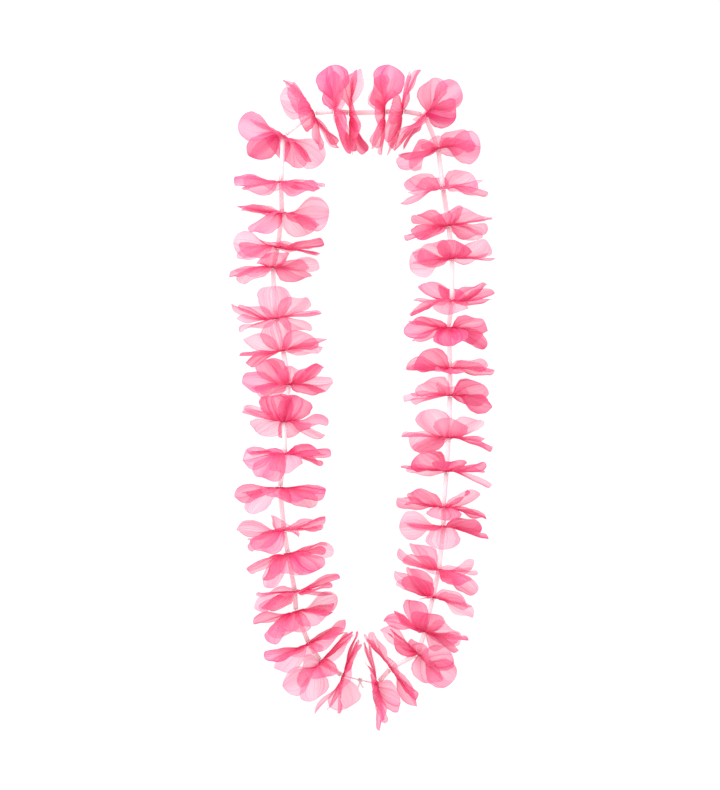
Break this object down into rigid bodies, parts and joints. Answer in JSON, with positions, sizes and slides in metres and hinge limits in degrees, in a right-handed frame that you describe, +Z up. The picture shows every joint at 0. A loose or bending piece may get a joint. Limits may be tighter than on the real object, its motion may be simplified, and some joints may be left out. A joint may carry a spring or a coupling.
{
  "type": "flower lei",
  "caption": "Closed garland of sheer fabric flowers on a thread, kept apart by lengths of drinking straw, laid flat in a tall oval.",
  "frame": {"origin": "middle of the whole part's box, on the surface that it lies on", "axes": "+Y along the tall oval, from the knot at the bottom to the row of flowers at the top of the picture; +X to the picture's right; +Z up from the surface"},
  "size_m": [0.1996, 0.4976, 0.0574],
  "materials": {
    "straw_and_thread": "clear to milky thin plastic straw with a faint pink tint from the petals, over a white twisted thread",
    "petal_fabric": "sheer stiffened fabric, pale where one layer shows and hot pink where layers fold over each other"
  },
  "bodies": {
    "root": {"strand": "straw_and_thread", "flower_01": "petal_fabric", "flower_02": "petal_fabric", "flower_03": "petal_fabric", "flower_04": "petal_fabric", "flower_05": "petal_fabric", "flower_06": "petal_fabric", "flower_07": "petal_fabric", "flower_08": "petal_fabric", "flower_09": "petal_fabric", "flower_10": "petal_fabric", "flower_11": "petal_fabric", "flower_12": "petal_fabric", "flower_13": "petal_fabric", "flower_14": "petal_fabric", "flower_15": "petal_fabric", "flower_16": "petal_fabric", "flower_17": "petal_fabric", "flower_18": "petal_fabric", "flower_19": "petal_fabric", "flower_20": "petal_fabric", "flower_21": "petal_fabric", "flower_22": "petal_fabric", "flower_23": "petal_fabric", "flower_24": "petal_fabric", "flower_25": "petal_fabric", "flower_26": "petal_fabric", "flower_27": "petal_fabric", "flower_28": "petal_fabric", "flower_29": "petal_fabric", "flower_30": "petal_fabric", "flower_31": "petal_fabric", "flower_32": "petal_fabric", "flower_33": "petal_fabric", "flower_34": "petal_fabric", "flower_35": "petal_fabric", "flower_36": "petal_fabric", "flower_37": "petal_fabric", "flower_38": "petal_fabric", "flower_39": "petal_fabric", "flower_40": "petal_fabric", "flower_41": "petal_fabric", "flower_42": "petal_fabric"}
  },
  "joints": []
}
